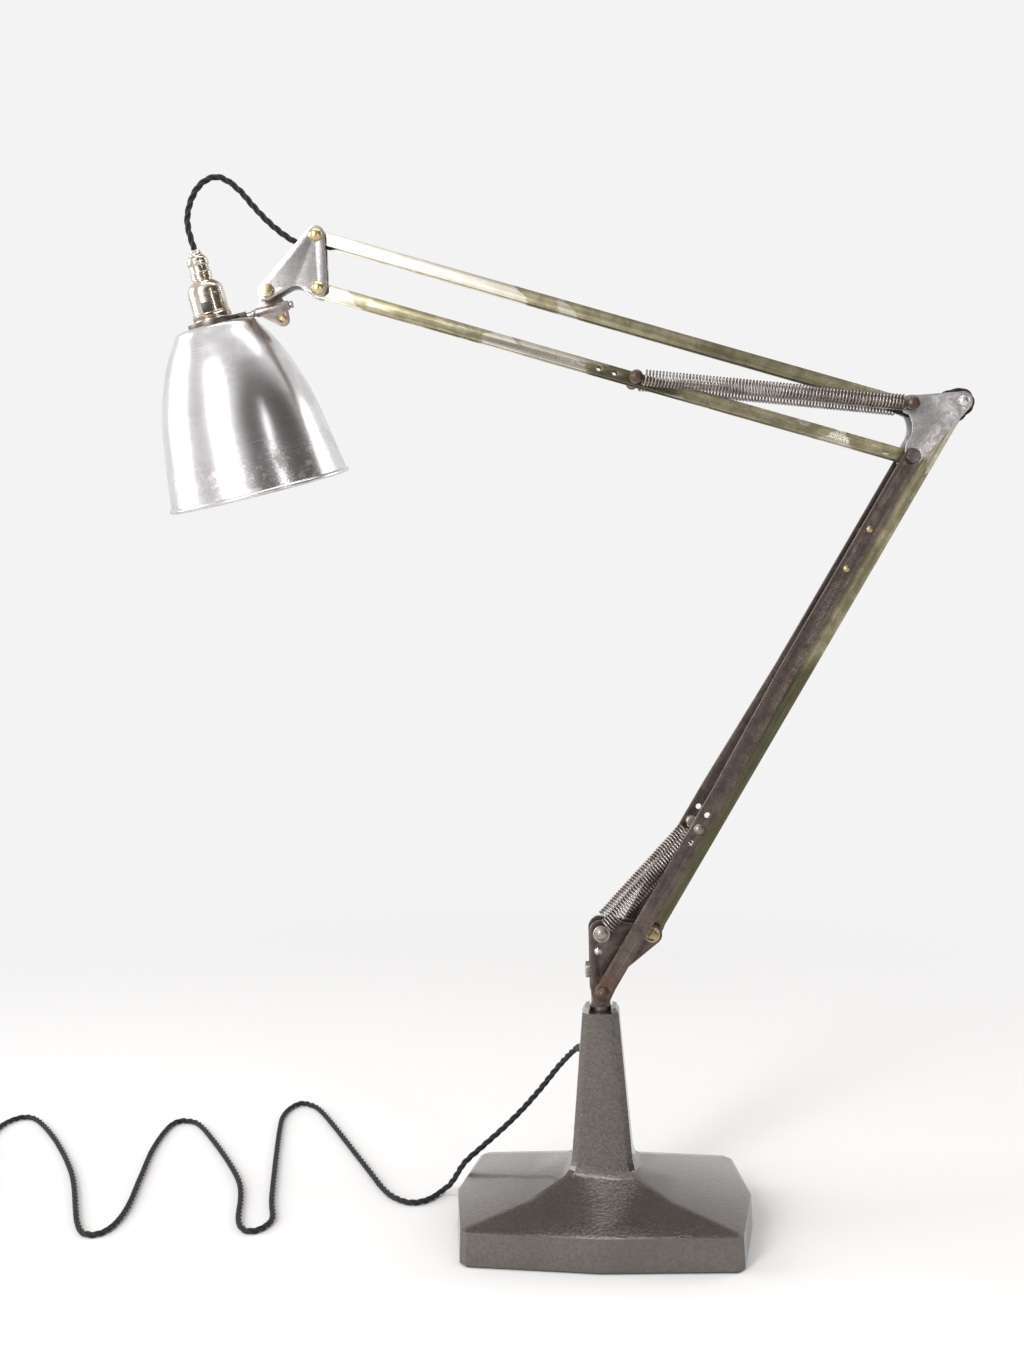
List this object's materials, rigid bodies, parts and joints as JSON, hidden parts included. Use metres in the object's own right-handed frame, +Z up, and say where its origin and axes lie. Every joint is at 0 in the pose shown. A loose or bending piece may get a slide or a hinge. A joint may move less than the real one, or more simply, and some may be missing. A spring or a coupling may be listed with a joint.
{
  "type": "desk lamp",
  "caption": "Balanced-arm desk lamp: heavy iron base with tapered stem, swivelling sprung parallelogram arms, tilting bell shade on a bayonet lampholder, and braided mains lead.",
  "frame": {"origin": "middle of the base, on the surface it stands on, on the swivel axis", "axes": "+Z up along the swivel axis; the arms lie in the XZ plane at rest, with the head towards -X"},
  "size_m": [1.027, 0.4362, 0.9224],
  "materials": {
    "iron": "hammered grey enamel over cast iron",
    "felt": "pressed wool felt",
    "dark_steel": "browned steel, rusty in places",
    "grey_steel": "mottled bare steel",
    "brass": "aged brass, patchily polished",
    "nickel": "worn nickel plate",
    "aluminium": "spun and polished",
    "spring_steel": "oiled spring steel",
    "black_plastic": "black phenolic",
    "braid": "black braided cotton",
    "rubber": "black rubber",
    "glass": "pearl glass"
  },
  "bodies": {
    "base": {"base_casting": "iron", "base_cover": "dark_steel", "base_felt": "felt", "stem_bush": "brass", "bush_screw": "dark_steel", "cord_gland": "rubber", "mains_cord": "braid", "mains_coil": "braid", "plug_body": "black_plastic", "plug_cover": "black_plastic", "plug_pins": "brass", "plug_sleeve": "rubber"},
    "bracket": {"swivel_post": "dark_steel", "bracket_plate_near": "dark_steel", "bracket_plate_far": "dark_steel", "bracket_rivet": "grey_steel", "bracket_screw": "grey_steel", "lower_pivot_pin": "dark_steel", "lower_pivot_sleeves": "dark_steel", "lower_spring_pin": "dark_steel", "link_pin": "brass", "bracket_cord": "braid"},
    "lower_arm": {"lower_bar_near": "dark_steel", "lower_bar_far": "dark_steel", "arm_spacers": "dark_steel", "spring_studs": "dark_steel", "lower_spring_near": "spring_steel", "lower_spring_far": "spring_steel"},
    "lower_link_arm": {"lower_link": "brass", "link_cord": "braid"},
    "elbow": {"elbow_plate_near": "grey_steel", "elbow_plate_far": "grey_steel", "elbow_bolt": "brass", "elbow_rivet": "brass", "elbow_spring_pin": "dark_steel", "elbow_cord": "braid"},
    "upper_arm": {"upper_arm_bar": "brass", "arm_spring_pin": "dark_steel", "upper_spring_near": "spring_steel", "upper_spring_far": "spring_steel"},
    "upper_link_arm": {"upper_link_bar": "brass", "upper_cord": "braid"},
    "head": {"head_plate_near": "grey_steel", "head_plate_far": "grey_steel", "head_pins": "brass", "tilt_bolt": "brass", "head_cord": "braid"},
    "rod_clamp": {"clamp_cheek_near": "grey_steel", "clamp_cheek_far": "grey_steel", "clamp_screw": "brass"},
    "shade_unit": {"shade_rod": "dark_steel", "carrier_ring": "dark_steel", "holder_skirt": "nickel", "holder_body": "nickel", "cord_grip": "nickel", "shade": "aluminium", "bulb_glass": "glass", "bulb_cap": "nickel", "shade_cord": "braid"},
    "switch_unit": {"switch_bar": "black_plastic"}
  },
  "joints": [
    {"name": "swivel", "type": "hinge", "parent": "base", "child": "bracket", "pos_m": [0, 0, 0.19], "axis": [0, 0, 1], "range_deg": [-170, 170]},
    {"name": "lower_arm_tilt", "type": "hinge", "parent": "bracket", "child": "lower_arm", "pos_m": [0, 0, 0.216], "axis": [0, 1, 0], "range_deg": [-32, 2.5], "deforming": ["lower_spring_near", "lower_spring_far"]},
    {"name": "lower_link_turn", "type": "hinge", "parent": "bracket", "child": "lower_link_arm", "pos_m": [0.045, 0, 0.263], "axis": [0, 1, 0], "range_deg": [-32, 2.5], "deforming": ["bracket_cord"]},
    {"name": "elbow_level", "type": "hinge", "parent": "lower_arm", "child": "elbow", "pos_m": [0.27292, 0, 0.67383], "axis": [0, 1, 0], "range_deg": [-2.5, 32], "deforming": ["elbow_cord"]},
    {"name": "upper_arm_tilt", "type": "hinge", "parent": "elbow", "child": "upper_arm", "pos_m": [0.27292, 0, 0.67383], "axis": [0, 1, 0], "range_deg": [-45, 55], "deforming": ["upper_spring_near", "upper_spring_far"]},
    {"name": "upper_link_turn", "type": "hinge", "parent": "elbow", "child": "upper_link_arm", "pos_m": [0.27192, 0, 0.71833], "axis": [0, 1, 0], "range_deg": [-45, 55], "deforming": ["upper_cord"]},
    {"name": "head_level", "type": "hinge", "parent": "upper_arm", "child": "head", "pos_m": [-0.23308, 0, 0.82467], "axis": [0, 1, 0], "range_deg": [-55, 45]},
    {"name": "head_tilt", "type": "hinge", "parent": "head", "child": "rod_clamp", "pos_m": [-0.27658, 0, 0.82267], "axis": [0, 1, 0], "range_deg": [-30, 40], "deforming": ["head_cord"]},
    {"name": "shade_roll", "type": "hinge", "parent": "rod_clamp", "child": "shade_unit", "pos_m": [-0.27347, 0, 0.80902], "axis": [0.9751, 0, 0.2215], "range_deg": [-60, 50], "deforming": ["shade_cord"]},
    {"name": "switch_push", "type": "slide", "parent": "shade_unit", "child": "switch_unit", "axis": [-0.0308, 0.9903, 0.1357], "range_m": [0, 0.003]}
  ],
  "couplings": [
    {"joint": "lower_link_turn", "follows": "lower_arm_tilt", "ratio": 1},
    {"joint": "elbow_level", "follows": "lower_arm_tilt", "ratio": -1},
    {"joint": "upper_link_turn", "follows": "upper_arm_tilt", "ratio": 1},
    {"joint": "head_level", "follows": "upper_arm_tilt", "ratio": -1}
  ]
}
